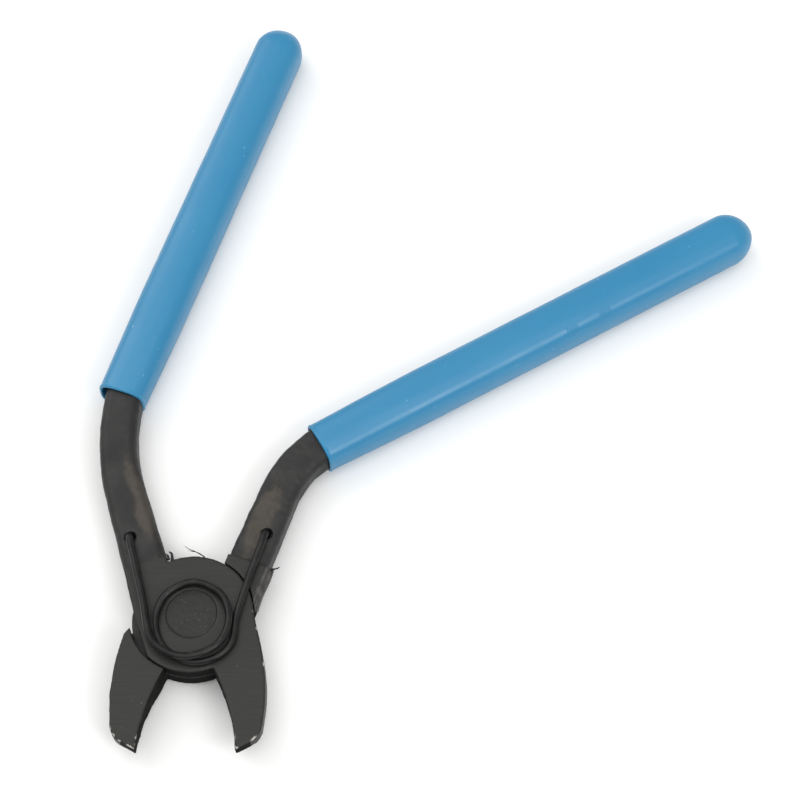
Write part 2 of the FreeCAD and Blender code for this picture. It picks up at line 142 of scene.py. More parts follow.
def tube(path, radii, columns):
    # a circle of each radius carried along the path, square to it, with no twist
    ahead = np.gradient(path, axis=0)
    ahead /= np.linalg.norm(ahead, axis=1)[:, None]
    side = np.zeros_like(ahead)
    guide = np.cross(ahead[0], [0.3, 0.2, 1.0])
    for row, forward in enumerate(ahead):
        guide = guide - forward * (guide @ forward)
        guide /= np.linalg.norm(guide)
        side[row] = guide
    up = np.cross(ahead, side)
    angle = np.linspace(0.0, 2.0 * np.pi, columns, endpoint=False)
    circle = side[:, None, :] * np.cos(angle)[None, :, None] + up[:, None, :] * np.sin(angle)[None, :, None]
    return path[:, None, :] + circle * np.asarray(radii)[:, None, None]


# small helpers for materials

def colour(code):
    # an sRGB hex value as linear red, green, blue and alpha
    parts = [int(code[k:k + 2], 16) / 255.0 for k in (1, 3, 5)]
    return tuple(p / 12.92 if p <= 0.04045 else ((p + 0.055) / 1.055) ** 2.4 for p in parts) + (1.0,)


def addNode(tree, kind, settings=None, links=None):
    # a node with its own properties, its sockets' values and the links into it
    node = tree.nodes.new(kind)
    for key, value in (settings or {}).items():
        if isinstance(key, str) and hasattr(node, key):
            setattr(node, key, value)
        else:
            node.inputs[key].default_value = value
    for key, source in (links or {}).items():
        tree.links.new(source, node.inputs[key])
    return node


def newMaterial(name):
    material = bpy.data.materials.new(name)
    material.use_nodes = True
    tree = material.node_tree
    tree.nodes.clear()
    shader = addNode(tree, "ShaderNodeBsdfPrincipled")
    addNode(tree, "ShaderNodeOutputMaterial", links={"Surface": shader.outputs["BSDF"]})
    return material, tree, shader


def stretched(tree, size):
    # object coordinates scaled so that one unit is the pattern's size in mm along each axis
    place = addNode(tree, "ShaderNodeTexCoord")
    scale = tuple(1.0 / (part * mm) for part in size)
    mapping = addNode(tree, "ShaderNodeMapping", {"Scale": scale}, {"Vector": place.outputs["Object"]})
    return mapping.outputs[0]


def noise(tree, size, detail=4.0, rough=0.55):
    settings = {"Scale": 1.0, "Detail": detail, "Roughness": rough}
    return addNode(tree, "ShaderNodeTexNoise", settings, {"Vector": stretched(tree, size)}).outputs["Fac"]


def ramp(tree, value, low, high, lowTo=0.0, highTo=1.0):
    settings = {"From Min": low, "From Max": high, "To Min": lowTo, "To Max": highTo}
    return addNode(tree, "ShaderNodeMapRange", settings, {"Value": value}).outputs[0]


def blendColours(tree, share, first, second):
    # a colour is either a hex code or another node's output
    node = addNode(tree, "ShaderNodeMix", {"data_type": "RGBA"}, {0: share})
    for socket, source in ((6, first), (7, second)):
        if isinstance(source, str):
            node.inputs[socket].default_value = colour(source)
        else:
            tree.links.new(source, node.inputs[socket])
    return node.outputs[2]


def reckon(tree, operation, first, second):
    node = addNode(tree, "ShaderNodeMath", {"operation": operation})
    for socket, source in ((0, first), (1, second)):
        if isinstance(source, (int, float)):
            node.inputs[socket].default_value = source
        else:
            tree.links.new(source, node.inputs[socket])
    return node.outputs[0]


def painted(tree, name):
    # a value kept on the mesh's points
    return addNode(tree, "ShaderNodeAttribute", {"attribute_name": name}).outputs["Fac"]


def bumps(tree, shader, heights):
    # each is (height, strength, depth in mm), the broadest first
    last = None
    for height, strength, depth in heights:
        settings = {"Strength": strength, "Distance": depth * mm}
        node = addNode(tree, "ShaderNodeBump", settings, {"Height": height})
        if last is not None:
            tree.links.new(last, node.inputs["Normal"])
        last = node.outputs["Normal"]
    tree.links.new(last, shader.inputs["Normal"])


# materials

forgingFinish = {
    "scaleDark": "#252525",
    "scaleLight": "#323130",
    "groundDark": "#232322",
    "groundLight": "#31312d",
    # near black: painted shade on the bite and joint walls, together with their unground oxide
    "sootAndShade": "#100f0e",
    "worn": "#46413a",
    # near white: bare metal in nicks together with a painted highlight along the edges
    "nickAndGlint": "#e6e2da",
    "dust": "#77746e",
}


def blackenedForging():
    # drop-forged carbon steel under black oxide and oil: dull satin scale on the necks, finer grey where
    # the hub and jaws were surface ground, brown-grey where the oxide is rubbed thin, near-black painted
    # shade on the unground bite and joint walls, and white metal in nicks brightened by a painted edge
    # highlight
    finish = forgingFinish
    material, tree, shader = newMaterial("blackenedForging")
    ground = painted(tree, "ground")
    cloud = noise(tree, (9.0, 9.0, 9.0))
    scale = blendColours(tree, ramp(tree, cloud, 0.35, 0.65), finish["scaleDark"], finish["scaleLight"])
    # grinding runs across the head; real marks are 0.05 mm apart, drawn at 0.3 mm so that they show
    marks = noise(tree, (14.0, 0.3, 3.0), 3.0, 0.7)
    smear = noise(tree, (16.0, 2.2, 6.0), 3.0)
    dressed = blendColours(tree, ramp(tree, marks, 0.3, 0.7), finish["groundDark"], finish["groundLight"])
    dressed = blendColours(tree, ramp(tree, smear, 0.5, 0.8, 0.0, 0.35), dressed, finish["scaleDark"])
    body = blendColours(tree, ground, scale, dressed)
    # painted shade: the bite and joint walls turn near black, partly unground oxide, partly the shade that
    # falls there
    sootAndShade = painted(tree, "sootAndShade")
    body = blendColours(tree, reckon(tree, "MULTIPLY", sootAndShade, 0.9), body, finish["sootAndShade"])
    mottled = ramp(tree, noise(tree, (2.5, 2.5, 2.5)), 0.2, 0.6, 0.45, 1.0)
    rubbed = reckon(tree, "MULTIPLY", painted(tree, "worn"), mottled)
    body = blendColours(tree, rubbed, body, finish["worn"])
    # dust and pinholes, 0.2 to 0.4 mm across
    specks = ramp(tree, noise(tree, (1.0, 1.0, 1.0), 2.0, 0.5), 0.755, 0.785)
    body = blendColours(tree, reckon(tree, "MULTIPLY", specks, 0.6), body, finish["dust"])
    # near white on the edges: bare metal in chips and nicks, mixed with a painted edge highlight
    bareAndGlint = painted(tree, "nickAndGlint")
    body = blendColours(tree, bareAndGlint, body, finish["nickAndGlint"])
    tree.links.new(body, shader.inputs["Base Color"])
    # dry soot and painted shade on the walls: next to no sheen, which keeps them dark
    tree.links.new(ramp(tree, sootAndShade, 0.0, 1.0, 0.45, 0.0), shader.inputs["Metallic"])
    tree.links.new(ramp(tree, sootAndShade, 0.0, 1.0, 0.5, 0.08), shader.inputs["Specular IOR Level"])
    oiled = ramp(tree, noise(tree, (5.0, 5.0, 5.0)), 0.3, 0.7, 0.46, 0.6)
    satin = ramp(tree, marks, 0.3, 0.7, 0.40, 0.54)
    polish = addNode(tree, "ShaderNodeMix", {"data_type": "FLOAT"}, {0: ground, 2: oiled, 3: satin})
    tree.links.new(reckon(tree, "MAXIMUM", polish.outputs[0], reckon(tree, "MULTIPLY", sootAndShade, 0.85)),
                   shader.inputs["Roughness"])
    forged = reckon(tree, "SUBTRACT", 1.0, ground)
    grain = reckon(tree, "MULTIPLY", noise(tree, (0.7, 0.7, 0.7), 3.0), forged)
    bumps(tree, shader, [
        (grain, 0.45, 0.12),
        (reckon(tree, "MULTIPLY", marks, ground), 0.25, 0.05),
    ])
    return material


rivetFinish = {"dark": "#242423", "light": "#2f2f2c", "speck": "#7c7972"}


def hammeredRivet():
    # mild-steel rivet set with a hammer, then blackened: a darker, duller face with pits and grey speckle
    material, tree, shader = newMaterial("hammeredRivet")
    cloud = noise(tree, (4.0, 4.0, 4.0))
    body = blendColours(tree, ramp(tree, cloud, 0.3, 0.7), rivetFinish["dark"], rivetFinish["light"])
    speck = reckon(tree, "MULTIPLY", ramp(tree, noise(tree, (0.75, 0.75, 0.75), 2.0), 0.62, 0.72),
                   ramp(tree, noise(tree, (5.0, 5.0, 5.0), 2.0), 0.45, 0.6))
    body = blendColours(tree, reckon(tree, "MULTIPLY", speck, 0.4), body, rivetFinish["speck"])
    tree.links.new(body, shader.inputs["Base Color"])
    shader.inputs["Metallic"].default_value = 0.45
    tree.links.new(ramp(tree, cloud, 0.3, 0.7, 0.5, 0.62), shader.inputs["Roughness"])
    bumps(tree, shader, [(noise(tree, (1.2, 1.2, 1.2), 3.0), 0.5, 0.12)])
    return material


wireFinish = {"dark": "#191919", "light": "#262625", "rubbed": "#5a544e"}


def drawnWire():
    # hard-drawn spring wire with an oiled black skin: darker and shinier than the forging, with
    # fine lengthwise die lines and bare glints where the turns rub
    material, tree, shader = newMaterial("drawnWire")
    cloud = noise(tree, (3.0, 3.0, 3.0))
    body = blendColours(tree, ramp(tree, cloud, 0.35, 0.7), wireFinish["dark"], wireFinish["light"])
    rub = reckon(tree, "MULTIPLY", ramp(tree, noise(tree, (1.6, 1.6, 1.6), 3.0), 0.66, 0.74), 0.5)
    body = blendColours(tree, rub, body, wireFinish["rubbed"])
    tree.links.new(body, shader.inputs["Base Color"])
    shader.inputs["Metallic"].default_value = 0.6
    tree.links.new(ramp(tree, cloud, 0.3, 0.7, 0.3, 0.42), shader.inputs["Roughness"])
    lines = addNode(tree, "ShaderNodeUVMap", {"uv_map": "wireMap"}).outputs["UV"]
    stretch = addNode(tree, "ShaderNodeMapping", {"Scale": (0.25, 9.0, 1.0)}, {"Vector": lines}).outputs[0]
    die = addNode(tree, "ShaderNodeTexNoise", {"Scale": 1.0, "Detail": 3.0}, {"Vector": stretch})
    bumps(tree, shader, [(die.outputs["Fac"], 0.35, 0.04)])
    return material


vinylFinish = {"deep": "#247ca7", "pale": "#287fa9", "dust": "#8db8d0"}


def mouldedVinyl():
    # plasticised PVC moulded in a gloss cavity: an even, slightly translucent sky blue with a soft wet
    # shine, handling haze and a few dust specks
    material, tree, shader = newMaterial("mouldedVinyl")
    cloud = noise(tree, (26.0, 26.0, 26.0), 3.0)
    body = blendColours(tree, ramp(tree, cloud, 0.35, 0.65), vinylFinish["deep"], vinylFinish["pale"])
    dust = ramp(tree, noise(tree, (1.1, 1.1, 1.1), 1.0), 0.775, 0.79)
    body = blendColours(tree, reckon(tree, "MULTIPLY", dust, 0.5), body, vinylFinish["dust"])
    tree.links.new(body, shader.inputs["Base Color"])
    shader.inputs["IOR"].default_value = 1.53
    shader.inputs["Subsurface Weight"].default_value = 0.08
    shader.inputs["Subsurface Radius"].default_value = (0.2, 0.6, 1.0)
    shader.inputs["Subsurface Scale"].default_value = 1.5 * mm
    haze = noise(tree, (12.0, 12.0, 12.0), 4.0)
    tree.links.new(ramp(tree, haze, 0.3, 0.7, 0.30, 0.42), shader.inputs["Roughness"])
    return material


forging = blackenedForging()
rivetSteel = hammeredRivet()
wireSteel = drawnWire()
vinyl = mouldedVinyl()
print("materials made")


# levers

leverShape = {
    "octree": 9,               # cells of about 0.4 mm
    "edgeWear": 0.45,          # how far an edge point moves to its neighbours' middle, each time
    "edgeRounds": 2,
    "forgedDepth": 0.10,       # mm of hammered unevenness on the necks
    "forgedWave": 7.0,
    "groundDepth": 0.012,
    "hubDepth": 0.004,
    "hubReach": 18.2,          # the hub and the walls of the joint are inside this radius
    "onFace": 0.12,            # a point this near the height of a ground face is on it
    "jawFrom": 18.0,           # the jaw's flats begin this far below the pivot
    "biteFrom": 16.0,
    "biteAcross": 5.0,         # the bite wall is nearer than this to the closed middle
    "tip": (37.2, 40.5),       # chipping fades in between these distances below the pivot
    "tipWave": 1.9,
    "tipChip": 0.55,           # mm broken out of the jaw's tip edge at most
    # the outer arris's nicks are painted near white, partly bare metal, partly a painted edge highlight
    "arris": (13.0, -30.0, -3.0),      # nicked outer arris: beyond this x, and from y to y
    # the flank bevel's rubbed streaks are lightened partly as painted sheen from side light
    "bevel": (-15.0, 3.0, 21.0),       # rubbed flank bevel: before this x, and from y to y
    # rubbed patches on the necks, in the closed place and as if each lever were the front one:
    # middle x and y, half width and half length, in mm
    "patches": {"front_lever": (-4.2, 38.0, 2.6, 14.0), "rear_lever": (-8.4, 33.0, 3.0, 13.0)},
}


def pointPlaces(mesh):
    places = np.empty(len(mesh.vertices) * 3)
    mesh.vertices.foreach_get("co", places)
    return places.reshape(-1, 3) / mm


def pointNormals(mesh):
    normals = np.empty(len(mesh.vertices) * 3)
    mesh.vertex_normals.foreach_get("vector", normals)
    return normals.reshape(-1, 3)


def edgeShare(mesh):
    # how much the faces round each point disagree: 0 on a flat, towards 1 on a sharp edge
    faces = np.empty(len(mesh.polygons) * 3)
    mesh.polygons.foreach_get("normal", faces)
    faces = faces.reshape(-1, 3)
    sizes = np.empty(len(mesh.polygons), int)
    mesh.polygons.foreach_get("loop_total", sizes)
    corners = np.empty(len(mesh.loops), int)
    mesh.loops.foreach_get("vertex_index", corners)
    total = np.zeros((len(mesh.vertices), 3))
    count = np.zeros(len(mesh.vertices))
    np.add.at(total, corners, np.repeat(faces, sizes, axis=0))
    np.add.at(count, corners, 1.0)
    return 1.0 - np.linalg.norm(total, axis=1) / np.maximum(count, 1.0)


def neighbourMiddle(mesh, points):
    # the mean of the points joined to each one by an edge
    edges = np.empty(len(mesh.edges) * 2, int)
    mesh.edges.foreach_get("vertices", edges)
    a, b = edges.reshape(-1, 2).T
    total = np.zeros_like(points)
    count = np.zeros(len(points))
    np.add.at(total, a, points[b])
    np.add.at(total, b, points[a])
    np.add.at(count, a, 1.0)
    np.add.at(count, b, 1.0)
    return total / count[:, None]


def evenSkin(node):
    # a merged copy of the CAD solid's mesh, remade as small even quads that keep its edges
    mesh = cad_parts[node].data.copy()
    work = bmesh.new()
    work.from_mesh(mesh)
    bmesh.ops.remove_doubles(work, verts=work.verts, dist=0.0001 * mm)
    work.to_mesh(mesh)
    work.free()
    holder = bpy.data.objects.new("evenSkinOf_" + node, mesh)
    bpy.context.scene.collection.objects.link(holder)
    remesh = holder.modifiers.new("remesh", "REMESH")
    remesh.mode = "SHARP"
    remesh.octree_depth = leverShape["octree"]
    remesh.scale = 0.99
    remesh.use_remove_disconnected = False
    found = holder.evaluated_get(bpy.context.evaluated_depsgraph_get())
    skin = bpy.data.meshes.new_from_object(found)
    bpy.data.objects.remove(holder)
    bpy.data.meshes.remove(mesh)
    return skin


def groundShare(points, closed, normals):
    # 1 on the faces dressed by the grinder: both hub faces and the flats of the jaw
    shape = leverShape
    atFront = np.abs(points[:, 2] - tool["frontFace"]) < shape["onFace"]
    atBack = np.abs(points[:, 2] - tool["backFace"]) < shape["onFace"]
    jawFlat = (closed[:, 1] < -shape["jawFrom"]) & (np.abs(normals[:, 2]) > 0.9)
    return (atFront | atBack | jawFlat).astype(float)


def forgedLumps(closed, ground, side):
    # how far each point stands off the true surface: hammered on the necks, almost true on the hub
    shape = leverShape
    broad = waves(closed, shape["forgedWave"], 14, 3 + side)
    lumps = broad + 0.4 * waves(closed, shape["forgedWave"] / 3, 14, 8 + side)
    depth = np.where(ground > 0.5, shape["groundDepth"], shape["forgedDepth"])
    hub = np.hypot(closed[:, 0], closed[:, 1]) < shape["hubReach"]
    return lumps * np.where(hub, np.minimum(depth, shape["hubDepth"]), depth)


def brokenTip(closed, side):
    # 0 to 1 where the rim of the tip is chipped: the high spots of a short wave, near the tip only
    near = smoothStep(-closed[:, 1], *leverShape["tip"])
    return near * smoothStep(waves(closed, leverShape["tipWave"], 16, 21 + side), 0.15, 0.9)


def wornShare(node, closed, normals, ground):
    # a ragged oval on the neck, where handling has rubbed the oxide thin
    side = sides[node]
    middleX, middleY, halfWide, halfLong = leverShape["patches"][node]
    ragged = 0.22 * waves(closed, 5.0, 12, 31 + side) + 0.1 * waves(closed, 1.6, 12, 41 + side)
    reach = np.hypot((closed[:, 0] - middleX) / halfWide, (closed[:, 1] - middleY) / halfLong)
    return (1.0 - smoothStep(reach + ragged, 0.55, 1.25)) * (normals[:, 2] > 0.6) * (ground < 0.5)


def sootAndShadeShare(closed, normals):
    # the bite walls and the walls of the joint were never dressed and keep their soot; they also carry
    # painted shade, near black where shade falls in the bite and between the hubs
    shape = leverShape
    below = closed[:, 1] < -shape["biteFrom"]
    bite = below & (normals[:, 2] < 0.6) & (closed[:, 0] < shape["biteAcross"])
    reach = np.hypot(closed[:, 0], closed[:, 1])
    joint = (reach < shape["hubReach"]) & (np.abs(normals[:, 2]) < 0.6)
    return (bite | joint).astype(float)


def nickAndGlintShare(points, closed, normals, edge, broken, side):
    # white metal with a painted edge highlight: chips on the tip and nicks along the front jaw's outer
    # arris, lightened to near white as glints on those edges, and faint rubbed streaks with painted sheen
    # down the rear lever's flank bevel
    top = tool["frontFace"]
    front = smoothStep(points[:, 2], top - 0.8, top - 0.3)
    across, low, high = leverShape["arris"]
    outer = (side > 0) & (closed[:, 0] > across) & (closed[:, 1] > low) & (closed[:, 1] < high)
    spots = smoothStep(waves(closed, 2.2, 16, 51 + side), 0.5, 0.8)
    chipsAndGlint = np.clip(edge * front * (broken * 1.6 + outer * spots * 1.3), 0.0, 1.0)
    across, low, high = leverShape["bevel"]
    leaning = (normals[:, 2] > 0.3) & (normals[:, 2] < 0.95)
    flank = (side < 0) & (closed[:, 0] < across) & (closed[:, 1] > low) & (closed[:, 1] < high)
    # painted sheen mixed with rubbing: faint lightening of the leaning faces of the rear flank bevel
    rubAndSheen = smoothStep(waves(closed * (1.0, 0.25, 1.0), 0.9, 16, 71), -0.4, 0.8)
    return np.maximum(chipsAndGlint, flank * leaning * (0.02 + 0.06 * rubAndSheen))


def makeLever(node, body):
    shape = leverShape
    side = sides[node]
    skin = evenSkin(node)
    points = pointPlaces(skin)
    edge = smoothStep(edgeShare(skin), 0.02, 0.12)
    normals = pointNormals(skin)
    # the closed place, mirrored for the rear lever, so that one description serves both
    closed = turned(points, -side * tool["halfOpening"])
    closed[:, 0] *= side
    ground = groundShare(points, closed, normals)
    # smoothing the edge points alone breaks them as a file or a tumbler does
    for again in range(shape["edgeRounds"]):
        middle = neighbourMiddle(skin, points)
        points += (middle - points) * (edge * shape["edgeWear"])[:, None]
    points += normals * forgedLumps(closed, ground, side)[:, None]
    broken = brokenTip(closed, side)
    points -= normals * (edge * broken * shape["tipChip"])[:, None]
    skin.vertices.foreach_set("co", (points * mm).ravel())
    skin.update()
    shares = {
        "ground": ground,
        "worn": wornShare(node, closed, normals, ground),
        # bare metal in nicks and chips, with a painted edge highlight and painted sheen on the flank bevel
        "nickAndGlint": nickAndGlintShare(points, closed, normals, edge, broken, side),
        # unground oxide on the bite and joint walls, darkened further as painted shade
        "sootAndShade": sootAndShadeShare(closed, normals),
    }
    for name, values in shares.items():
        kept = skin.attributes.new(name, "FLOAT", "POINT")
        kept.data.foreach_set("value", values.astype(np.float32))
    skin.shade_smooth()
    piece = newPiece(node + "_forging", skin, forging)
    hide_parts(node)
    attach(piece, body)
    print(piece.name, len(skin.polygons), "faces")


makeLever("front_lever", "front_side")
makeLever("rear_lever", "rear_side")


# rivet

rivetShape = {
    "peen": 7.25,
    "peenEdge": 0.35,          # the spread end's rounded rim, which reads as a thin dark circle
    "shank": 6.2,
    "seatDeep": 1.6,
    "sunk": 0.03,              # the peened end lies this far below the hub's face
    "head": 10.5,
    "headFlat": 0.72,          # share of the head's radius that is flat
    "headRim": 0.5,            # height of the head's upright rim
    "columns": 128,
    "pit": 0.05,
}


def makeRivet():
    # a profile of radius and height turned about the pivot axis, its two flats hammered uneven
    shape = rivetShape
    top, back = tool["frontFace"], tool["backFace"]
    end, edge = top - shape["sunk"], shape["peenEdge"]
    profile = [(r, end) for r in np.linspace(0.0, shape["peen"] - edge, 40)]
    for a in np.linspace(0.0, np.pi / 2, 7)[1:]:
        profile.append((shape["peen"] - edge * (1 - np.sin(a)), end - edge * (1 - np.cos(a))))
    profile += [(shape["shank"], top - shape["seatDeep"]), (shape["shank"], back)]
    profile += [(r, back) for r in np.linspace(shape["shank"] + 0.5, shape["head"] - 0.2, 6)]
    headFlat, crown = shape["head"] * shape["headFlat"], back - shape["headRim"]
    for a in np.linspace(0.0, np.pi / 2, 16):
        profile.append((headFlat + (shape["head"] - headFlat) * np.cos(a), crown - crown * np.sin(a)))
    profile += [(r, 0.0) for r in np.linspace(headFlat, 0.0, 30)[1:]]
    profile = np.array(profile)
    angle = np.linspace(0.0, 2.0 * np.pi, shape["columns"], endpoint=False)
    rings = np.stack([
        profile[:, None, 0] * np.cos(angle), profile[:, None, 0] * np.sin(angle),
        np.repeat(profile[:, 1:], shape["columns"], axis=1)], axis=-1)
    flatPoints = rings.reshape(-1, 3)
    hammered = waves(flatPoints, 3.4, 14, 5) + 0.5 * waves(flatPoints, 1.3, 14, 6)
    onTop = flatPoints[:, 2] > top - 0.1
    onHead = flatPoints[:, 2] < 1.2
    flatPoints[:, 2] -= (np.abs(hammered) * shape["pit"]) * onTop
    flatPoints[:, 2] += (np.abs(hammered) * shape["pit"] * 2) * onHead
    piece = ringMesh("pivot_rivet_hammered", rings, rivetSteel)
    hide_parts("pivot_rivet")
    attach(piece, "rear_side")


makeRivet()
print("rivet made")


# return spring

springShape = {
    "wire": 1.05,
    "middle": (0.42, -2.67),
    "overHub": 1.15,           # wire centre above the hub's face on the lowest turn
    "leftHole": (-19.0, 23.5),
    "rightHole": (20.3, 24.5),
    "rightAim": (12.8, -1.2),
    # bends of each leg: x, y and height above the lowest turn
    "leftLeg": [(-16.1, 12.4, 1.05), (-13.3, 1.8, 1.95)],
    "rightLeg": [(12.75, -1.6, 0.0), (15.7, 9.6, 0.05)],
    "legOverNeck": 1.75,
    "holeDeep": 3.0,
    # the wound wire, by the angle wound from +X: radius, and height above the lowest turn
    "turns": {192: (12.6, 2.45), 210: (12.75, 2.4), 240: (11.9, 2.4), 270: (11.2, 2.3), 315: (10.7, 1.9),
              360: (10.4, 1.5), 405: (10.9, 1.1), 450: (11.3, 0.75), 495: (10.9, 0.4), 540: (10.4, 0.1),
              585: (10.9, 0.0), 630: (12.1, 0.0), 665: (12.9, 0.0), 690: (13.0, 0.0)},
    "columns": 28,
    "step": 0.22,
}


def makeSpring():
    shape = springShape
    base = tool["frontFace"] + shape["overHub"]
    middleX, middleY = shape["middle"]
    coil = []
    for degrees, (radius, height) in shape["turns"].items():
        angle = np.radians(degrees)
        coil.append((middleX + radius * np.cos(angle), middleY + radius * np.sin(angle), base + height))

    def hooked(hole, towards):
        # the end of a leg, from inside the hole, over a bend of about the wire's own radius, to the leg
        x, y = hole
        out = np.array(towards[:2]) - np.array(hole)
        out /= np.linalg.norm(out)
        legHeight = tool["neckFront"] + shape["legOverNeck"]
        points = [(x, y, tool["neckFront"] - shape["holeDeep"]), (x, y, tool["neckFront"] - 0.6)]
        for share, drop in ((0.25, 1.15), (0.8, 0.42), (1.7, 0.05), (3.2, 0.0)):
            points.append((x + out[0] * share, y + out[1] * share, legHeight - drop))
        return points

    left = hooked(shape["leftHole"], coil[0])
    right = hooked(shape["rightHole"], shape["rightAim"])
    leftLeg = [(x, y, base + up) for x, y, up in shape["leftLeg"]]
    rightLeg = [(x, y, base + up) for x, y, up in shape["rightLeg"]]
    points = left + leftLeg + coil + rightLeg + right[::-1]
    path = splinePath(points, shape["step"])
    radii = np.full(len(path), shape["wire"])
    # both cut ends close in a shallow dome
    shut = np.sqrt(np.clip(np.linspace(0.0, 1.0, 7), 0.0, 1.0))
    radii[:7] *= shut
    radii[-7:] *= shut[::-1]
    rings = tube(path, radii, shape["columns"])
    piece = ringMesh("return_spring_wire", rings, wireSteel)
    wrapWire(piece.data, path)
    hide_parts("return_spring")
    # the left leg is hooked in the front lever and the right leg in the rear one
    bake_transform(piece)


def wrapWire(mesh, path):
    # a map of mm along the wire and share of a turn round it, from each corner's nearest path point
    points = pointPlaces(mesh)
    nearest = np.concatenate([
        np.argmin(((block[:, None, :] - path[None, :, :]) ** 2).sum(axis=2), axis=1)
        for block in np.array_split(points, 40)])
    away = points - path[nearest]
    turnShare = np.arctan2(away[:, 2], np.hypot(away[:, 0], away[:, 1])) / (2.0 * np.pi)
    along = nearest * springShape["step"]
    corners = np.empty(len(mesh.loops), int)
    mesh.loops.foreach_get("vertex_index", corners)
    layer = mesh.uv_layers.new(name="wireMap")
    # one turn round the wire takes 7.2 mm of the pattern
    places = np.stack([along, turnShare * 7.2], axis=1)[corners]
    layer.data.foreach_set("uv", places.astype(np.float32).ravel())


makeSpring()
print("spring made")


# grips

gripShape = {
    "wide": 15.4,
    "high": 14.4,
    "mouthWide": 14.4,
    "mouthHigh": 12.4,
    "swell": 38.0,             # the sleeve reaches its full section this far from the mouth
    "nose": 8.6,               # length of the rounded end
    "squareness": 2.75,        # power of the section's superellipse: 2 is an oval, more is squarer
    "boreSquareness": 3.4,
    "rimSquareness": 3.3,
    "noseSquareness": 2.2,
    "lip": 0.75,               # radius of the rolled rim
    "boreWide": 12.4,
    "boreHigh": 9.9,
    "boreDeep": 7.0,
    "columns": 120,
    "step": 0.55,
    "fineStep": 0.16,          # row spacing over the moulded ribs
    "ripple": 0.04,
    "rippleWave": 17.0,
    # closed place of the mouth's middle, way the sleeve leans in degrees, its length, the lever it is
    # on, and the seed of its ripple
    "front_grip": {
        "mouth": (-0.5, 74.4), "leans": 37.87, "long": 143.0, "lever": "front_lever", "seed": 70,
    },
    "rear_grip": {
        "mouth": (15.4, 62.1), "leans": 41.13, "long": 153.6, "lever": "rear_lever", "seed": 69,
    },
}
ribMarks = {
    # two little groups of raised moulding ribs on the rear grip's near corner
    "at": (84.6, 96.2),
    "ribs": 5,
    "apart": 0.8,
    "high": 0.13,
    "half": 1.8,               # half their length round the section, mm
    "angle": -48.0,            # the corner they are on, degrees round the section
}


def roundedSection(halfWide, halfHigh, power, angle):
    # a superellipse: |x/a|^p + |z/b|^p = 1, by angle
    across = np.sign(np.cos(angle)) * np.abs(np.cos(angle)) ** (2.0 / power)
    upward = np.sign(np.sin(angle)) * np.abs(np.sin(angle)) ** (2.0 / power)
    return halfWide * across, halfHigh * upward


def makeGrip(node, body):
    shape = gripShape
    own = shape[node]
    angle = np.linspace(0.0, 2.0 * np.pi, shape["columns"], endpoint=False)
    rows = []          # (distance from the mouth, half width, half height, power)
    # bore: from its blind end out to the rim
    boreA, boreB = shape["boreWide"] / 2, shape["boreHigh"] / 2
    mouthA, mouthB = shape["mouthWide"] / 2, shape["mouthHigh"] / 2
    for share in np.linspace(0.0, 1.0, 6):
        rows.append((shape["boreDeep"], boreA * share, boreB * share, shape["boreSquareness"]))
    for distance in np.linspace(shape["boreDeep"], 1.0, 8)[1:]:
        rows.append((distance, boreA, boreB, shape["boreSquareness"]))
    # rolled rim: half an ellipse from the bore to the outside
    rollA, rollB = (mouthA - boreA) / 2, (mouthB - boreB) / 2
    for turn in np.linspace(0.0, np.pi, 13)[1:-1]:
        rows.append((shape["lip"] * (1.0 - np.sin(turn)), boreA + rollA * (1 - np.cos(turn)),
                     boreB + rollB * (1 - np.cos(turn)), shape["rimSquareness"]))
    innerRows = len(rows)
    # outside: a smooth swell, then parallel, then a rounded nose
    straight = np.arange(shape["lip"], own["long"] - shape["nose"], shape["step"])
    if node == "rear_grip":
        fine = [np.arange(at - 2.4, at + 2.4, shape["fineStep"]) for at in ribMarks["at"]]
        straight = np.unique(np.concatenate([straight] + fine))
    swell = smoothStep(straight, -shape["swell"] * 0.4, shape["swell"])
    start = smoothStep(np.array([0.0]), -shape["swell"] * 0.4, shape["swell"])[0]
    share = (swell - start) / (1.0 - start)
    for distance, part in zip(straight, share):
        rows.append((distance, mouthA + (shape["wide"] / 2 - mouthA) * part,
                     mouthB + (shape["high"] / 2 - mouthB) * part, shape["squareness"]))
    for turn in np.linspace(0.0, np.pi / 2, 26)[1:]:
        inset = shape["nose"] * (1.0 - np.cos(turn)) * 0.96
        tall = inset * (shape["high"] / shape["wide"])
        last = turn > np.pi / 2 - 0.001
        power = shape["squareness"] + (shape["noseSquareness"] - shape["squareness"]) * np.sin(turn)
        rows.append((own["long"] - shape["nose"] * (1.0 - np.sin(turn)),
                     0.0 if last else max(shape["wide"] / 2 - inset, 0.3),
                     0.0 if last else max(shape["high"] / 2 - tall, 0.25), power))
    rows = np.array(rows)
    across, upward = roundedSection(rows[:, 1:2], rows[:, 2:3], rows[:, 3:4], angle[None, :])
    along = np.repeat(rows[:, :1], shape["columns"], axis=1)
    outside = (np.arange(len(rows)) > innerRows)[:, None] * np.ones_like(across)
    away = np.hypot(across, upward) + 1e-6
    places = np.stack([across, upward, along], axis=-1).reshape(-1, 3)
    wavy = waves(places, shape["rippleWave"], 12, own["seed"])
    lift = shape["ripple"] * (0.5 * wavy.reshape(across.shape) - 0.5) * outside
    if node == "rear_grip":
        lift = lift + ribLift(along, across, upward) * outside
    across = across * (1.0 + lift / away)
    upward = upward * (1.0 + lift / away)
    # stand the sleeve in its closed place, then turn it with its lever
    lean = np.radians(own["leans"])
    x = own["mouth"][0] + along * np.sin(lean) + across * np.cos(lean)
    y = own["mouth"][1] + along * np.cos(lean) - across * np.sin(lean)
    z = shape["high"] / 2 + upward
    rings = turned(np.stack([x, y, z], axis=-1), sides[own["lever"]] * tool["halfOpening"])
    piece = ringMesh(node + "_moulded", rings, vinyl)
    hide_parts(node)
    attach(piece, body)


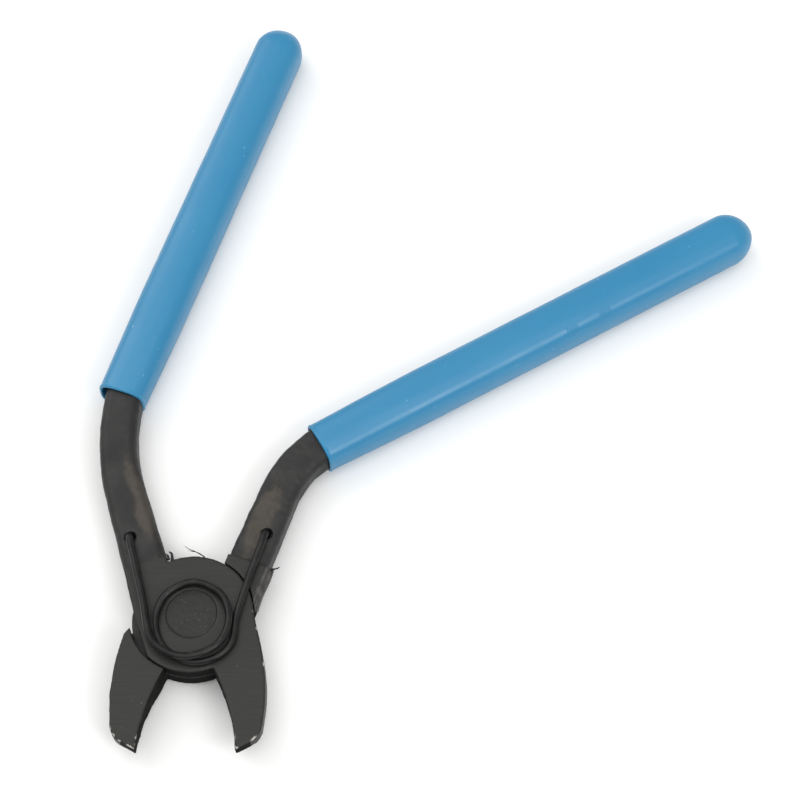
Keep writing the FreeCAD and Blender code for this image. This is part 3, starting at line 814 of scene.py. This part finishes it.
def ribLift(along, across, upward):
    # a row of narrow rounded ridges: cosine bumps along the sleeve, faded at both ends round the section
    marks = ribMarks
    corner = np.radians(marks["angle"])
    place = np.hypot(across, upward) * (np.arctan2(across, upward) + corner)
    fade = 1.0 - smoothStep(np.abs(place), marks["half"] * 0.6, marks["half"])
    total = np.zeros_like(along)
    for middle in marks["at"]:
        near = np.abs(along - middle) < marks["ribs"] * marks["apart"] / 2
        ridge = 0.5 + 0.5 * np.cos(2.0 * np.pi * (along - middle) / marks["apart"])
        total += near * ridge * fade * marks["high"]
    return total


makeGrip("front_grip", "front_side")
makeGrip("rear_grip", "rear_side")
print("grips made")


# burrs left by the forging die and the grinder

burrs = {
    # name: (body, thickness at the root, points from root to free end) in mm
    # the hub's hair stands up off its rim, so that it passes over the other neck when the jaws close
    "hub_flash": ("front_side", 0.2, [(3.3, 16.8, 12.15), (2.2, 17.5, 12.6), (0.2, 18.6, 12.7),
                                      (-1.5, 19.3, 12.75), (-3.3, 20.6, 12.8)]),
    "hub_flash_fork": ("front_side", 0.14, [(0.4, 18.5, 12.7), (-0.8, 18.7, 12.65), (-2.0, 19.0, 12.6)]),
    "neck_burr": ("front_side", 0.62, [(-6.3, 15.9, 11.3), (-6.3, 17.2, 11.6), (-6.6, 18.4, 11.8),
                                       (-7.6, 18.9, 11.8)]),
    "neck_burr_spur": ("front_side", 0.5, [(-7.3, 16.4, 11.3), (-7.6, 17.5, 11.6), (-8.3, 18.3, 11.8)]),
    "flank_nib": ("rear_side", 0.45, [(21.6, 13.5, 11.0), (23.6, 13.9, 11.4), (24.7, 14.2, 11.6)]),
}


def makeBurrs():
    for name, (body, thick, points) in burrs.items():
        path = splinePath(points, 0.12)
        share = np.linspace(0.0, 1.0, len(path))
        radii = thick * (1.0 - 0.8 * share) * np.clip(np.minimum(share, 1.0 - share) * 14.0, 0.0, 1.0)
        rings = tube(path, radii, 10)
        flatPoints = rings.reshape(-1, 3)
        crinkle = np.stack([waves(flatPoints, 0.9, 8, seed) for seed in (1, 2, 3)], axis=1)
        flatPoints += 0.25 * thick * crinkle
        rings[0] = rings[0].mean(axis=0)
        rings[-1] = rings[-1].mean(axis=0)
        piece = ringMesh(name, rings, wireSteel)
        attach(piece, body)


makeBurrs()
print("burrs made")


# floor, light and camera

studio = {
    "aim": (58.8, 70.0, 7.2),
    "cameraAt": (58.8, -202.4, 541.8),
    "lens": 90.0,
    "sensor": 36.0,
    "worldStrength": 0.62,
    "floorHalf": 4.0,          # metres
    # each light: place and size in metres, watts
    "lights": {
        "backLeftSoftbox": ((-0.75, 0.75, 0.95), 1.1, 6.5),
        "frontRightSoftbox": ((0.75, -0.55, 0.95), 0.5, 5.0),
        "overheadSoftbox": ((0.05, -0.15, 1.5), 1.4, 9.0),
    },
}


boardFinish = {"low": "#f4f4f3", "high": "#f8f8f7"}


def paleBoard():
    # matt coated display board: near white, evenly diffuse, with the faintest paper mottle
    material, tree, shader = newMaterial("paleBoard")
    mottle = noise(tree, (40.0, 40.0, 40.0), 3.0)
    body = blendColours(tree, mottle, boardFinish["low"], boardFinish["high"])
    tree.links.new(body, shader.inputs["Base Color"])
    shader.inputs["Roughness"].default_value = 0.9
    return material


def makeStudio():
    half = studio["floorHalf"]
    corners = [(-half, -half, 0), (half, -half, 0), (half, half, 0), (-half, half, 0)]
    mesh = bpy.data.meshes.new("floor")
    mesh.from_pydata(corners, [], [(0, 1, 2, 3)])
    floor = bpy.data.objects.new("floor", mesh)
    bpy.context.scene.collection.objects.link(floor)
    mesh.materials.append(paleBoard())
    aim = Vector(studio["aim"]) * mm
    for name, (place, size, watts) in studio["lights"].items():
        lamp = bpy.data.lights.new(name, "AREA")
        lamp.size = size
        lamp.energy = watts
        lamp.color = colour("#ffffff")[:3]
        holder = bpy.data.objects.new(name, lamp)
        holder.location = place
        holder.rotation_euler = (aim - Vector(place)).to_track_quat("-Z", "Y").to_euler()
        bpy.context.scene.collection.objects.link(holder)
    world = bpy.data.worlds.new("softRoom")
    world.use_nodes = True
    world.node_tree.nodes["Background"].inputs["Color"].default_value = colour("#ffffff")
    world.node_tree.nodes["Background"].inputs["Strength"].default_value = studio["worldStrength"]
    bpy.context.scene.world = world
    lens = bpy.data.cameras.new("camera")
    lens.lens = studio["lens"]
    lens.sensor_width = studio["sensor"]
    camera = bpy.data.objects.new("camera", lens)
    camera.location = Vector(studio["cameraAt"]) * mm
    camera.rotation_euler = (aim - camera.location).to_track_quat("-Z", "Y").to_euler()
    bpy.context.scene.collection.objects.link(camera)
    bpy.context.scene.camera = camera
    bpy.context.scene.view_settings.view_transform = "Standard"


makeStudio()
print("studio made")
